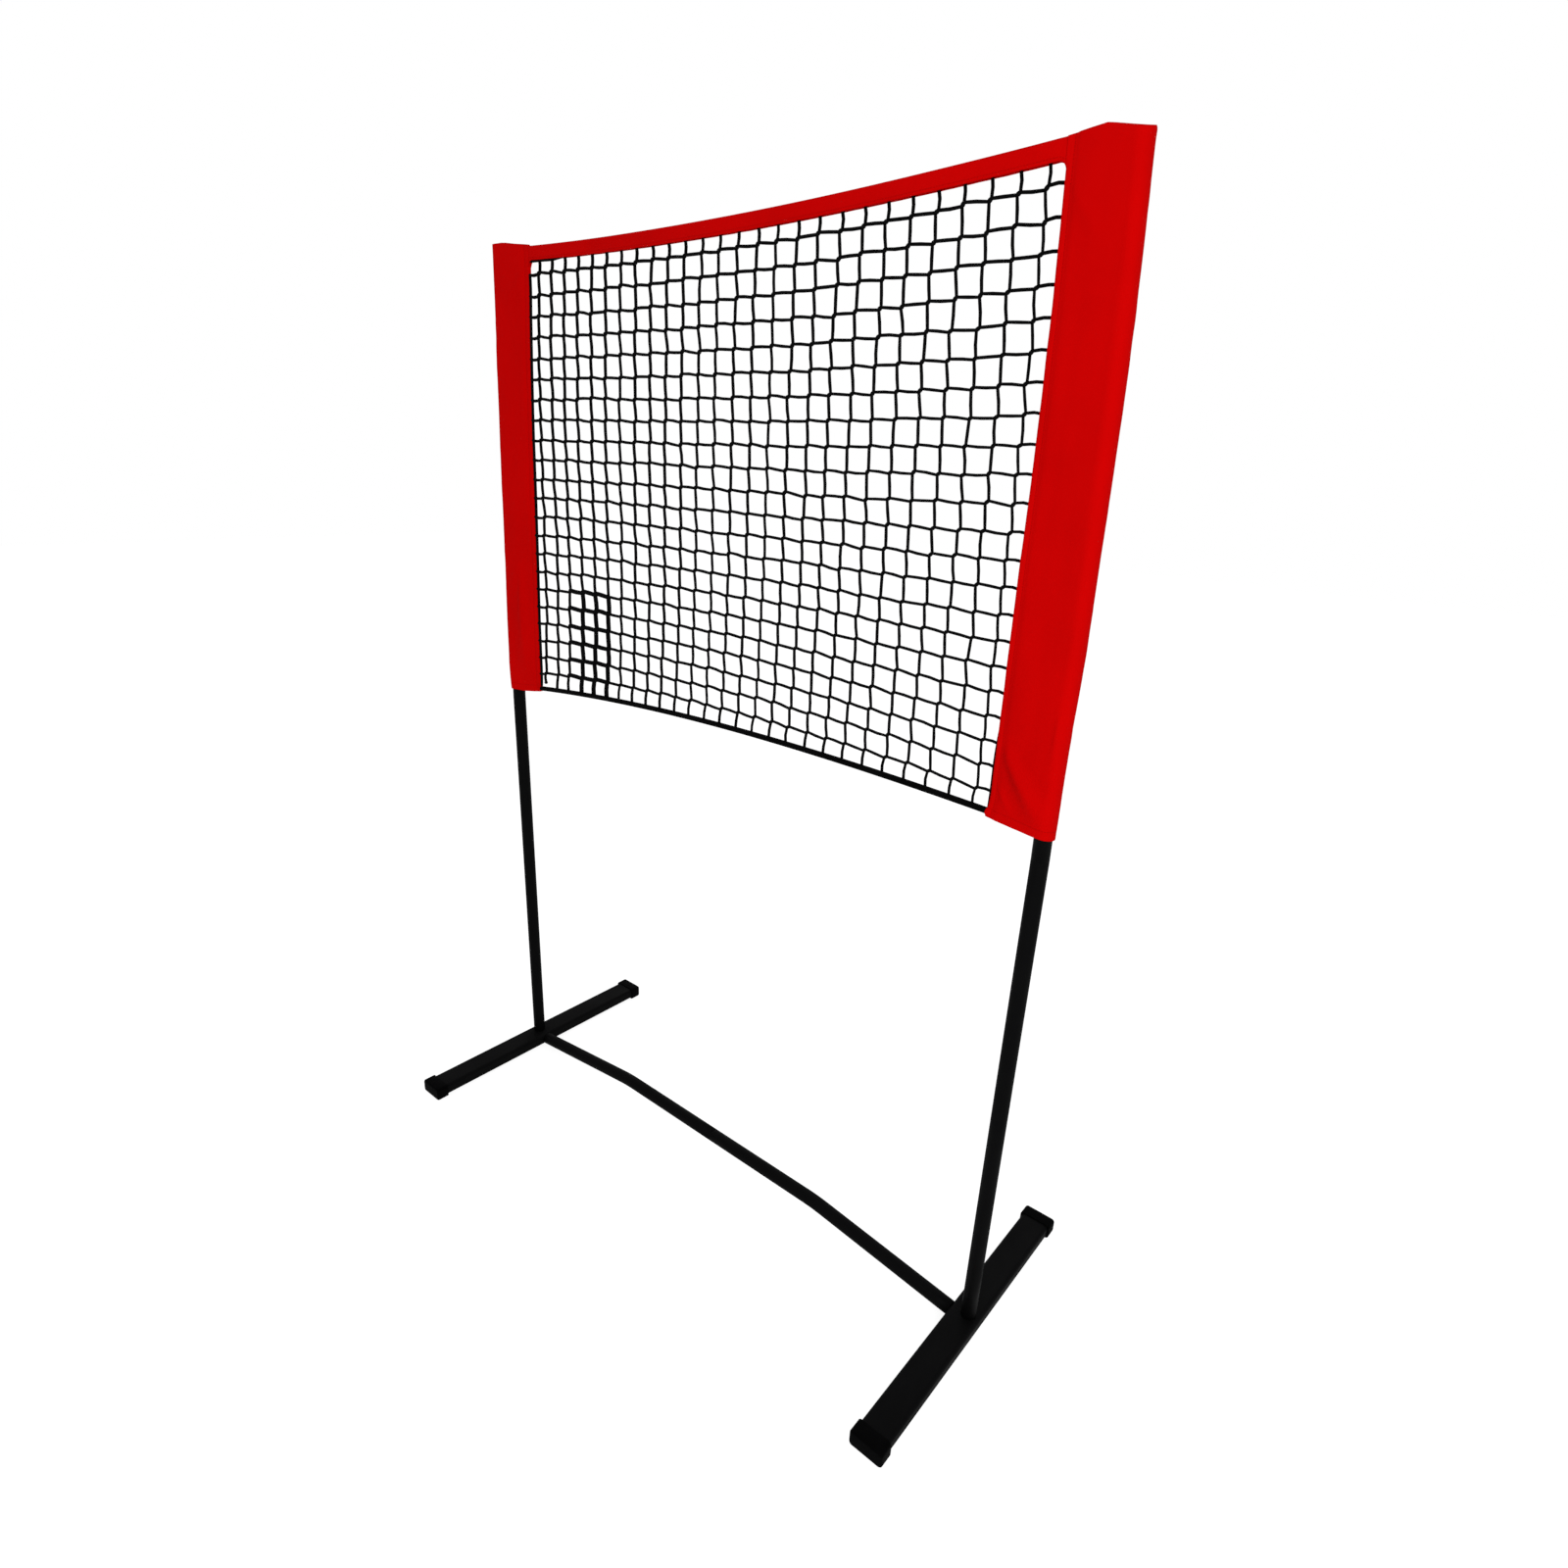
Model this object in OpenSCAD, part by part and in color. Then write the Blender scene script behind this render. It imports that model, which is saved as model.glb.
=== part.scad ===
// Small free-standing practice net.
// A black tube frame stands on two flat feet and holds a square-mesh net between two red pocket sleeves.
// +X runs along the net, +Y through it to the rear, +Z up.
// The origin is on the ground, midway between the uprights. Sizes are in millimetres.

/* [Uprights] */
// Distance between the axes of the two uprights
post_spacing = 1072; // [900:2:1400]
// Outer diameter of the upright and rail tubes
tube_d = 23; // [20:0.5:25]
// Wall of the upright and rail tubes
tube_wall = 1.5; // [1:0.1:2.5]
// Length of a lower upright from the foot to its shoulder
lower_upright_length = 756; // [600:1:900]
// Length of an upper upright from that shoulder to its top
upper_upright_length = 766; // [600:1:900]
// Length of the reduced tube end that slips into the next tube
reduced_end_length = 60; // [40:1:90]
// Clearance all round between a tube and what it slips over
slip_clearance = 0.08; // [0.05:0.01:0.1]
// Height of the plug's head above the upper upright
plug_head = 2.5; // [1.5:0.1:5]
// Depth of the plug inside the upper upright
plug_depth = 22; // [10:1:40]
// Chamfer round the plug's head
plug_chamfer = 1; // [0.5:0.1:1.4]

/* [Feet] */
// Length of a foot from front to back, caps included
foot_length = 530; // [400:1:800]
// Width of the foot tube
foot_width = 47; // [44:1:70]
// Height of the foot tube
foot_height = 22; // [20:1:35]
// Wall of the foot tube
foot_wall = 1.5; // [1:0.1:2.5]
// Radius of the foot tube's outer corners
foot_corner = 6; // [3:0.5:7]
// How far the upright stands outboard of the middle of the foot
post_offset = 5; // [0:0.5:6]
// Height of the spigot that the lower upright slips over
upright_spigot_length = 50; // [30:1:80]

/* [Foot caps] */
// Thickness of a cap beside the foot tube
cap_side = 3; // [1.5:0.1:6]
// Thickness of a cap under and over the foot tube
cap_lip = 2; // [1:0.1:5]
// Thickness of a cap across the tube's end
cap_end = 3; // [1.5:0.1:6]
// Length of a cap from front to back
cap_length = 23; // [15:1:45]
// Radius of a cap's outer corners
cap_corner = 8; // [7:0.5:10]
// Chamfer round a cap's outer end
cap_chamfer = 3; // [1:0.5:5]
// Clearance all round between a cap and the foot tube
cap_clearance = 0.05; // [0:0.01:0.2]

/* [Ground rail] */
// Height of the middle of the rail above the ground
rail_middle_z = 45; // [30:1:80]
// Distance of each bend from the middle of the rail
rail_bend_x = 237; // [150:1:300]
// Least gap between the rail and the ground
rail_ground_gap = 1; // [0.5:0.5:10]
// Length of the spigot that the rail slips over
rail_spigot_length = 45; // [30:1:80]

/* [Net] */
// Width of a sleeve, from its outer edge to the mesh
sleeve_width = 91; // [70:1:140]
// Length of a sleeve along the upright
sleeve_length = 747; // [500:1:900]
// How much higher the sleeve's hem is at the mesh than at the upright
sleeve_hem_rise = 11; // [0:1:30]
// Slack of the sleeve's pocket all round the upright
sleeve_slack = 2.3; // [1:0.1:6]
// Width of the stitched web between the pocket and the side cord
sleeve_web = 4; // [2:0.5:10]
// Thickness of the sleeve and band fabric
fabric = 1.2; // [0.6:0.1:2]
// Depth of the top band
band_depth = 21; // [15:1:50]
// How far the band's ends lie below the tops of the sleeves
band_drop = 3; // [1:0.5:20]
// Sag of the top band in the middle
band_sag = 12; // [4:1:40]
// Diameter of the headline cord in the top band
headline_d = 4; // [2:0.5:6]
// Diameter of the side cords in the sleeves
side_cord_d = 4; // [2:0.5:6]
// Diameter of the bottom cord
bottom_cord_d = 8; // [4:0.5:12]
// Rise of the bottom cord in the middle
bottom_cord_rise = 20; // [4:1:40]
// Number of mesh cells along the net
mesh_columns = 20; // [8:1:20]
// Number of mesh cells from the bottom cord to the band
mesh_rows = 15; // [6:1:15]
// Width and thickness of a mesh strand
strand = 2; // [1:0.1:4]
// Clearance round a soft piece
soft_gap = 0.3; // [0.2:0.05:0.5]

/* [Hidden] */

// Sides of the frame and ends of a foot
LEFT = -1;
RIGHT = 1;
FRONT = -1;
REAR = 1;

// Smoothness of round sections and of long shallow arcs
round_fn = 64;
arc_fn = 720;
// Straight steps round each end of a sleeve, seen from above
fold_steps = 24;
// Overlap that lets a cut run clean through a face
cut = 1;

// Colours
paint = "#151516";
moulding = "#0b0b0c";
red = "#c00000";
twine = "#101010";

// Tubes
tube_r = tube_d / 2;
bore_r = tube_r - tube_wall;
slip_r = bore_r - slip_clearance;
slip_bore_r = slip_r - tube_wall;

// Uprights, from the ground up
post_x = post_spacing / 2;
foot_base_z = cap_lip;
foot_top_z = foot_base_z + foot_height;
joint_z = foot_top_z + lower_upright_length;
tube_top_z = joint_z + upper_upright_length;
plug_top_z = tube_top_z + plug_head;
net_top_z = plug_top_z + soft_gap + fabric;

// Feet
foot_x = post_x - post_offset;
foot_inner_x = foot_x - foot_width / 2;
foot_tube_length = foot_length - 2 * cap_end;
foot_middle_z = foot_base_z + foot_height / 2;
cap_width = foot_width + 2 * cap_side;
cap_height = foot_height + 2 * cap_lip;

// Ground rail: a level middle, a bend and a slope down to each foot
rail_end_z = max(foot_middle_z, tube_r + rail_ground_gap);
rail_slope = atan((rail_middle_z - rail_end_z) / (foot_inner_x - rail_bend_x));
rail_sloped_length = (foot_inner_x - rail_bend_x) / cos(rail_slope);

// Sleeves
pocket_r = tube_r + sleeve_slack;
sleeve_r = pocket_r + fabric;
tunnel_r = side_cord_d / 2 + soft_gap;
hem_r = tunnel_r + fabric;
sleeve_outer_x = post_x + sleeve_r;
sleeve_inner_x = sleeve_outer_x - sleeve_width;
sleeve_bottom_z = net_top_z - sleeve_length;
sleeve_corner_z = sleeve_bottom_z + sleeve_hem_rise;
side_cord_x = sleeve_inner_x + hem_r;
pocket_reach = post_x - side_cord_x;

// The net between the sleeves: the band hangs along one arc and the bottom cord along another
net_half = sleeve_inner_x - soft_gap;
band_end_z = net_top_z - band_drop;
band_radius = arc_radius(net_half, band_sag);
band_centre_z = band_end_z - band_sag + band_radius;
band_fold_r = headline_d / 2 + soft_gap + fabric;
band_strip = 2 * fabric + strand;
headline_radius = band_radius + band_fold_r;
cord_end_z = sleeve_corner_z + bottom_cord_d / 2;
cord_radius = arc_radius(net_half, bottom_cord_rise);
cord_centre_z = cord_end_z + bottom_cord_rise - cord_radius;

// Radius of the arc that rises by rise over half_span
function arc_radius(half_span, rise) = (half_span * half_span + rise * rise) / (2 * rise);

// Height of an arc of this radius above or below its centre, at x from the middle
function arc_height(radius, x) = sqrt(radius * radius - x * x);

// Lower and upper limits of the mesh at x from the middle
function mesh_low_z(x) = cord_centre_z + arc_height(cord_radius + bottom_cord_d / 2, x) + soft_gap;
function mesh_high_z(x) = band_centre_z - arc_height(band_radius + band_depth, x) - soft_gap;

// Middle of an upright strand, and of a level strand at x
function mesh_x(column) = (net_half - strand / 2) * (2 * column / mesh_columns - 1);
function mesh_z(row, x) =
    mesh_low_z(x) + strand / 2 + (mesh_high_z(x) - mesh_low_z(x) - strand) * row / mesh_rows;

// Draws its children, made for the right side, on the side asked for
module on_side(side) {
    mirror([side == LEFT ? 1 : 0, 0, 0]) children();
}

// Stands a flat outline drawn as [x, z] up in the plane of the net, centred through it
module upright_plate(thickness) {
    rotate([90, 0, 0]) linear_extrude(thickness, center = true) children();
}

// Flat ring, the section of a tube
module tube_section(outer_r, inner_r) {
    difference() {
        circle(outer_r, $fn = round_fn);
        circle(inner_r, $fn = round_fn);
    }
}

// Rectangle with round corners, centred
module rounded_outline(width, height, corner) {
    square([width - 2 * corner, height], center = true);
    square([width, height - 2 * corner], center = true);
    for (x = [-1, 1], y = [-1, 1])
        translate([x * (width / 2 - corner), y * (height / 2 - corner)])
            circle(corner, $fn = round_fn);
}

// Draws an outline at the middle of a foot's height and extrudes it from one place to another along Y
module along_foot(from_y, to_y) {
    translate([foot_x, to_y, foot_middle_z])
        rotate([90, 0, 0]) linear_extrude(to_y - from_y) children();
}

// Flat foot tube, open at both ends
module foot_tube(side) {
    color(paint) on_side(side)
        along_foot(-foot_tube_length / 2, foot_tube_length / 2)
            difference() {
                rounded_outline(foot_width, foot_height, foot_corner);
                rounded_outline(foot_width - 2 * foot_wall, foot_height - 2 * foot_wall,
                    foot_corner - foot_wall);
            }
}

// Outline of a cap seen along X or Z: square at the tube, chamfered at the outer end
module cap_outline(breadth) {
    half = breadth / 2;
    tip = foot_length / 2;
    polygon([
        [-half, tip - cap_length], [half, tip - cap_length],
        [half, tip - cap_chamfer], [half - cap_chamfer, tip],
        [cap_chamfer - half, tip], [-half, tip - cap_chamfer]
    ]);
}

// Rubber boot over the end of a foot
module foot_cap(side, end) {
    color(moulding) on_side(side) mirror([0, end == FRONT ? 1 : 0, 0])
        difference() {
            intersection() {
                along_foot(foot_length / 2 - cap_length, foot_length / 2)
                    rounded_outline(cap_width, cap_height, cap_corner);
                translate([foot_x, 0, 0]) linear_extrude(cap_height) cap_outline(cap_width);
                translate([foot_x, 0, foot_middle_z])
                    rotate([0, 90, 0]) linear_extrude(cap_width, center = true) cap_outline(cap_height);
            }
            along_foot(foot_length / 2 - cap_length - cut, foot_tube_length / 2)
                rounded_outline(foot_width + 2 * cap_clearance, foot_height + 2 * cap_clearance,
                    foot_corner + cap_clearance);
        }
}

// Stub tube welded on top of a foot
module upright_spigot(side) {
    color(paint) on_side(side)
        translate([post_x, 0, foot_top_z])
            linear_extrude(upright_spigot_length) tube_section(slip_r, slip_bore_r);
}

// Puts its children, drawn along +Z, on the sloping end of the rail, with the origin where it meets the foot
module at_rail_end() {
    translate([foot_inner_x, 0, rail_end_z]) rotate([0, rail_slope - 90, 0]) children();
}

// Everything inboard of the foot's inner side
module inboard_of_foot() {
    translate([0, -tube_d, 0]) cube([foot_inner_x, 2 * tube_d, rail_middle_z + tube_d]);
}

// Stub tube welded to the inner side of a foot, along the rail's slope
module rail_spigot(side) {
    color(paint) on_side(side)
        intersection() {
            at_rail_end() translate([0, 0, -tube_d])
                linear_extrude(tube_d + rail_spigot_length) tube_section(slip_r, slip_bore_r);
            inboard_of_foot();
        }
}

// Solid bar along half of the rail: level from start_x, bent, then sloping down to the foot
module rail_bar(radius, start_x) {
    translate([start_x, 0, rail_middle_z]) rotate([0, 90, 0])
        cylinder(h = rail_bend_x - start_x, r = radius, $fn = round_fn);
    translate([rail_bend_x, 0, rail_middle_z]) sphere(radius, $fn = round_fn);
    at_rail_end() translate([0, 0, -tube_d])
        cylinder(h = tube_d + rail_sloped_length, r = radius, $fn = round_fn);
}

// Half of the rail with open ends
module rail_half(side) {
    color(paint) on_side(side)
        difference() {
            intersection() {
                rail_bar(tube_r, 0);
                inboard_of_foot();
            }
            rail_bar(bore_r, -cut);
        }
}

// Left half of the rail, whose reduced end reaches into the right half
module left_rail_half() {
    rail_half(LEFT);
    color(paint)
        translate([-tube_wall, 0, rail_middle_z]) rotate([0, 90, 0]) {
            linear_extrude(tube_wall) tube_section(tube_r - tube_wall / 2, slip_bore_r);
            linear_extrude(tube_wall + reduced_end_length) tube_section(slip_r, slip_bore_r);
        }
}

// Lower upright: full size up to its shoulder, reduced above it
module lower_upright(side) {
    color(paint) on_side(side)
        translate([post_x, 0, foot_top_z])
            difference() {
                union() {
                    cylinder(h = lower_upright_length, r = tube_r, $fn = round_fn);
                    cylinder(h = lower_upright_length + reduced_end_length, r = slip_r, $fn = round_fn);
                }
                translate([0, 0, -cut])
                    cylinder(h = lower_upright_length - tube_wall + cut, r = bore_r, $fn = round_fn);
                cylinder(h = lower_upright_length + reduced_end_length + cut, r = slip_bore_r, $fn = round_fn);
            }
}

// Upper upright, open at both ends
module upper_upright(side) {
    color(paint) on_side(side)
        translate([post_x, 0, joint_z])
            linear_extrude(upper_upright_length) tube_section(tube_r, bore_r);
}

// Plug that closes an upper upright inside its sleeve
module top_plug(side) {
    color(moulding) on_side(side)
        translate([post_x, 0, tube_top_z]) {
            translate([0, 0, -plug_depth])
                cylinder(h = plug_depth, r = bore_r - cap_clearance, $fn = round_fn);
            cylinder(h = plug_head - plug_chamfer, r = tube_r, $fn = round_fn);
            translate([0, 0, plug_head - plug_chamfer])
                cylinder(h = plug_chamfer, r1 = tube_r, r2 = tube_r - plug_chamfer, $fn = round_fn);
        }
}

// Points round part of a circle, from one heading to another
function arc_points(centre, radius, from, to) = [
    for (step = [0 : fold_steps])
        let (heading = from + (to - from) * step / fold_steps)
            centre + radius * [cos(heading), sin(heading)]
];

// Taut outline round the upright and the side cord, seen from above, with the upright at the origin
module sleeve_outline(post_end_r, cord_end_r) {
    lean = asin((post_end_r - cord_end_r) / pocket_reach);
    polygon(concat(
        arc_points([0, 0], post_end_r, -90 - lean, 90 + lean),
        arc_points([-pocket_reach, 0], cord_end_r, 90 + lean, 270 - lean)
    ));
}

// The sleeve seen from the front, with its sloping hem
module sleeve_front() {
    polygon([
        [sleeve_inner_x, sleeve_corner_z], [sleeve_outer_x, sleeve_bottom_z],
        [sleeve_outer_x, net_top_z], [sleeve_inner_x, net_top_z]
    ]);
}

// Fabric pocket, closed at the top, with a stitched web between the upright and the side cord
module sleeve(side) {
    color(red) on_side(side)
        difference() {
            intersection() {
                translate([post_x, 0, sleeve_bottom_z]) linear_extrude(sleeve_length)
                    sleeve_outline(sleeve_r, hem_r);
                upright_plate(2 * sleeve_r) sleeve_front();
            }
            translate([post_x, 0, sleeve_bottom_z - cut])
                linear_extrude(sleeve_length - fabric + cut)
                    difference() {
                        sleeve_outline(pocket_r, tunnel_r);
                        translate([tunnel_r - pocket_reach, -sleeve_r]) square([sleeve_web, 2 * sleeve_r]);
                    }
        }
}

// Cord sewn into the inner edge of a sleeve
module side_cord(side) {
    color(twine) on_side(side)
        translate([side_cord_x, 0, cord_end_z])
            cylinder(h = net_top_z - fabric - soft_gap - cord_end_z, d = side_cord_d, $fn = round_fn);
}

// Sweeps a section along an arc through the middle of the net; its ends stop at the sleeves at this radius.
// The arc's centre is at centre_z, and its middle lies at this heading: 270 for down, 90 for up.
module net_sweep(radius, centre_z, heading) {
    half_angle = asin(net_half / radius);
    translate([0, 0, centre_z]) rotate([90, 0, 0]) rotate([0, 0, heading - half_angle])
        rotate_extrude(angle = 2 * half_angle, $fn = arc_fn) children();
}

// Sweeps a section along the hanging arc of the band; the section's +X points down
module hanging_sweep() {
    net_sweep(band_radius + band_depth, band_centre_z, 270) children();
}

// Sweeps a section along the arch of the bottom cord; the section's +X points up
module arching_sweep() {
    net_sweep(cord_radius + bottom_cord_d / 2, cord_centre_z, 90) children();
}

// Fabric tape folded over the headline cord
module top_band() {
    color(red) hanging_sweep()
        difference() {
            union() {
                translate([headline_radius, 0]) circle(band_fold_r, $fn = round_fn);
                translate([headline_radius, -band_strip / 2])
                    square([band_depth - band_fold_r, band_strip]);
            }
            translate([headline_radius, 0]) circle(headline_d / 2 + soft_gap, $fn = round_fn);
        }
}

// Cord that carries the top of the net
module headline_cord() {
    color(twine) hanging_sweep()
        translate([headline_radius, 0]) circle(headline_d / 2, $fn = round_fn);
}

// Cord along the bottom of the net
module bottom_cord() {
    color(twine) arching_sweep()
        translate([cord_radius, 0]) circle(bottom_cord_d / 2, $fn = round_fn);
}

// Outline of the mesh: the bottom cord's arch below, the band's arc above
module mesh_outline() {
    across = [for (column = [0 : mesh_columns]) net_half * (2 * column / mesh_columns - 1)];
    low = [for (x = across) [x, mesh_low_z(x)]];
    high = [for (column = [mesh_columns : -1 : 0]) [across[column], mesh_high_z(across[column])]];
    polygon(concat(low, high));
}

// One open cell between four strands
module mesh_cell(column, row) {
    left = mesh_x(column) + strand / 2;
    right = mesh_x(column + 1) - strand / 2;
    polygon([
        [left, mesh_z(row, left) + strand / 2], [right, mesh_z(row, right) + strand / 2],
        [right, mesh_z(row + 1, right) - strand / 2], [left, mesh_z(row + 1, left) - strand / 2]
    ]);
}

// Square mesh with a strand along each edge
module net_mesh() {
    color(twine) upright_plate(strand)
        difference() {
            mesh_outline();
            for (column = [0 : mesh_columns - 1], row = [0 : mesh_rows - 1]) mesh_cell(column, row);
        }
}

foot_tube(LEFT);  // left_foot_tube
foot_tube(RIGHT);  // right_foot_tube
foot_cap(LEFT, FRONT);  // left_front_cap
foot_cap(LEFT, REAR);  // left_rear_cap
foot_cap(RIGHT, FRONT);  // right_front_cap
foot_cap(RIGHT, REAR);  // right_rear_cap
upright_spigot(LEFT);  // left_upright_spigot
upright_spigot(RIGHT);  // right_upright_spigot
rail_spigot(LEFT);  // left_rail_spigot
rail_spigot(RIGHT);  // right_rail_spigot
left_rail_half();  // left_rail
rail_half(RIGHT);  // right_rail
lower_upright(LEFT);  // left_lower_upright
lower_upright(RIGHT);  // right_lower_upright
upper_upright(LEFT);  // left_upper_upright
upper_upright(RIGHT);  // right_upper_upright
top_plug(LEFT);  // left_top_plug
top_plug(RIGHT);  // right_top_plug
sleeve(LEFT);  // left_sleeve
sleeve(RIGHT);  // right_sleeve
top_band();
headline_cord();
side_cord(LEFT);  // left_side_cord
side_cord(RIGHT);  // right_side_cord
net_mesh();
bottom_cord();
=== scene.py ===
# %% [markdown]
# # A free-standing practice net
# A square mesh hangs between two red pocket sleeves. The sleeves slip over a black tube frame that
# stands on two flat feet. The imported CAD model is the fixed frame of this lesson: the feet keep their
# shape and get a finish, and everything that bends is made here. Lengths are in metres. +X runs along
# the net, +Y through it to the rear and +Z up, from the ground midway between the uprights.

import math
import random

import bmesh
import bpy
from mathutils import Matrix, Vector, noise


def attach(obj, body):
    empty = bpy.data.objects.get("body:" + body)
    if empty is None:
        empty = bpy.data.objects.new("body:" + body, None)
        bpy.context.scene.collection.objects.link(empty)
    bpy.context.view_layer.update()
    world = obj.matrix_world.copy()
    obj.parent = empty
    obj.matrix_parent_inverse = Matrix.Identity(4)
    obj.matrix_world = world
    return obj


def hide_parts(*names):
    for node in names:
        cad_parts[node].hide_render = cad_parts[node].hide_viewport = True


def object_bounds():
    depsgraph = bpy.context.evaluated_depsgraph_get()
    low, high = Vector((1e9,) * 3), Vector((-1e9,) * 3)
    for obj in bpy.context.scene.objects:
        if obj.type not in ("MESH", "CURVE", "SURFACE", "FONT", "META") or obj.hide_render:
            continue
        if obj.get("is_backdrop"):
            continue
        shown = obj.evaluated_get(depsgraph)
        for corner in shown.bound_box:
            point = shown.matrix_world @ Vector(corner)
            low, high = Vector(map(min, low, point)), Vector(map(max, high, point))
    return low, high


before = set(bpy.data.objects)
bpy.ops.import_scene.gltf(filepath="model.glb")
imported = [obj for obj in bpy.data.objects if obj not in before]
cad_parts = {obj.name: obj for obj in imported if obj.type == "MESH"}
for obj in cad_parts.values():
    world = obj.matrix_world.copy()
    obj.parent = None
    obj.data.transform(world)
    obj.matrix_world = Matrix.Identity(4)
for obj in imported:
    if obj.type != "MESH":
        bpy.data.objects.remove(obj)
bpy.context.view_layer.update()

# %% [markdown]
# ## The camera
# A camera is only a place, a direction and a lens. Its own axes are worked out here: it looks along
# its -Z, its +X is the picture's right and its +Y the picture's up. A wide lens close to the net gives
# the strong perspective that makes the near upright look much taller than the far one.

# %% Place the camera
EYE = Vector((0.9448, -1.0106, 1.2309))
TURN, TIP, ROLL = math.radians(-38.969), math.radians(19.423), math.radians(-2.706)
SENSOR_MM, LENS_MM = 36, 20.914

forward = Vector((math.sin(TURN) * math.cos(TIP), math.cos(TURN) * math.cos(TIP), -math.sin(TIP)))
level_right = Vector((math.cos(TURN), -math.sin(TURN), 0))
level_down = forward.cross(level_right)
camera_x = math.cos(ROLL) * level_right + math.sin(ROLL) * level_down
camera_y = math.sin(ROLL) * level_right - math.cos(ROLL) * level_down

camera_data = bpy.data.cameras.new("camera")
camera_data.sensor_width = SENSOR_MM
camera_data.lens = LENS_MM
camera = bpy.data.objects.new("camera", camera_data)
camera.matrix_world = Matrix.Translation(EYE) @ Matrix((camera_x, camera_y, -forward)).transposed().to_4x4()
bpy.context.scene.collection.objects.link(camera)
bpy.context.scene.camera = camera
print("camera at", [round(x, 3) for x in EYE], "lens", LENS_MM, "mm")

# %% [markdown]
# ## The studio
# The world is an even white light. What the camera sees of it is pure white, and so is what glossy
# surfaces mirror, but the strength that lights the net is lower, so that the red stays the red that is
# written in its material. A large soft lamp near the right-hand upright makes the near sleeve a
# little brighter than the far one, and another lights the back. The floor glows in part, so that it is
# as pale as the background and still keeps a soft shadow.

# %% Light and floor
scene = bpy.context.scene
scene.view_settings.view_transform = "Standard"

SKY_LIGHT = 0.60
FLOOR_HALF, FLOOR_TONE, FLOOR_GLOW, GLOW_SHARE = 12, 0.9, 1.25, 0.70


def add_node(owner, kind, sockets, **settings):
    """A new node of a material or world. Each socket is joined to an output or set to a value."""
    node = owner.node_tree.nodes.new("ShaderNode" + kind)
    for name, value in settings.items():
        setattr(node, name, value)
    for name, value in sockets.items():
        socket = node.inputs[name]
        if isinstance(value, bpy.types.NodeSocket):
            owner.node_tree.links.new(value, socket)
        else:
            socket.default_value = (*value, 1) if socket.type == "RGBA" else value
    return node


def new_finish(name, colour, roughness, specular):
    """A material with one Principled shader, and that shader."""
    finish = bpy.data.materials.new(name)
    finish.use_nodes = True
    shader = finish.node_tree.nodes["Principled BSDF"]
    shader.inputs["Base Color"].default_value = (*colour, 1)
    shader.inputs["Roughness"].default_value = roughness
    shader.inputs["Specular IOR Level"].default_value = specular
    return finish, shader


def seen_ray(owner):
    """1 where a ray is the camera's, or goes on from it through a gloss or a clear surface."""
    rays = add_node(owner, "LightPath", {})
    value = rays.outputs["Is Camera Ray"]
    for name in ("Is Glossy Ray", "Is Transmission Ray"):
        value = add_node(owner, "Math", {0: value, 1: rays.outputs[name]}, operation="MAXIMUM").outputs[0]
    return value


def soft_lamp(name, place, target, size, power):
    """A square area lamp at place that points at target."""
    data = bpy.data.lights.new(name, "AREA")
    data.size = size
    data.energy = power
    lamp = bpy.data.objects.new(name, data)
    lamp.location = place
    lamp.rotation_euler = (Vector(target) - Vector(place)).to_track_quat("-Z", "Y").to_euler()
    scene.collection.objects.link(lamp)


world = bpy.data.worlds.new("studio")
world.use_nodes = True
scene.world = world
sky = world.node_tree.nodes["Background"]
sky.inputs["Color"].default_value = (1, 1, 1, 1)
strength = add_node(world, "MapRange", {"Value": seen_ray(world), "To Min": SKY_LIGHT})
world.node_tree.links.new(strength.outputs["Result"], sky.inputs["Strength"])

soft_lamp("key", (1.55, -1.65, 1.4), (0.45, 0, 1.0), 1.2, 26)
soft_lamp("back_fill", (-1.6, 2.8, 2.4), (0, 0, 0.9), 2.0, 26)

floor_mesh = bpy.data.meshes.new("floor")
bm = bmesh.new()
bmesh.ops.create_grid(bm, x_segments=1, y_segments=1, size=FLOOR_HALF)
bm.to_mesh(floor_mesh)
bm.free()
floor = bpy.data.objects.new("floor", floor_mesh)
scene.collection.objects.link(floor)
floor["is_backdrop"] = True

floor_white, plain = new_finish("floor_white", (FLOOR_TONE, FLOOR_TONE, FLOOR_TONE), 1, 0)
glow = add_node(floor_white, "Emission", {"Color": (1, 1, 1), "Strength": FLOOR_GLOW})
share = add_node(floor_white, "Math", {0: seen_ray(floor_white), 1: GLOW_SHARE}, operation="MULTIPLY")
blend = add_node(floor_white, "MixShader", {0: share.outputs[0], 1: plain.outputs[0], 2: glow.outputs[0]})
floor_output = floor_white.node_tree.nodes["Material Output"]
floor_white.node_tree.links.new(blend.outputs[0], floor_output.inputs["Surface"])
floor_mesh.materials.append(floor_white)

# %% [markdown]
# ## Finishes from nodes
# A finish is a colour, a gloss and a relief. Each of the small helpers below adds a node to a
# material and returns its output, so that a finish reads as a short recipe. Noise on Object
# coordinates stays where it is on the metal; cloth and cords read their own UV map instead, so that
# the weave and the braid follow the surface. Fine relief goes through a Bump node, whose distance is
# the real depth in metres.


# %% Helpers for finishes
def coordinates(finish, kind, scale=(1, 1, 1)):
    """The surface's Object or UV coordinates, stretched by scale."""
    source = add_node(finish, "TexCoord", {})
    return add_node(finish, "Mapping", {"Vector": source.outputs[kind], "Scale": scale}).outputs["Vector"]


def speckle(finish, where, scale, detail=3.0, roughness=0.5):
    """Noise of so many features a metre."""
    return add_node(finish, "TexNoise", {
        "Vector": where, "Scale": scale, "Detail": detail, "Roughness": roughness}).outputs["Fac"]


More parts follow.
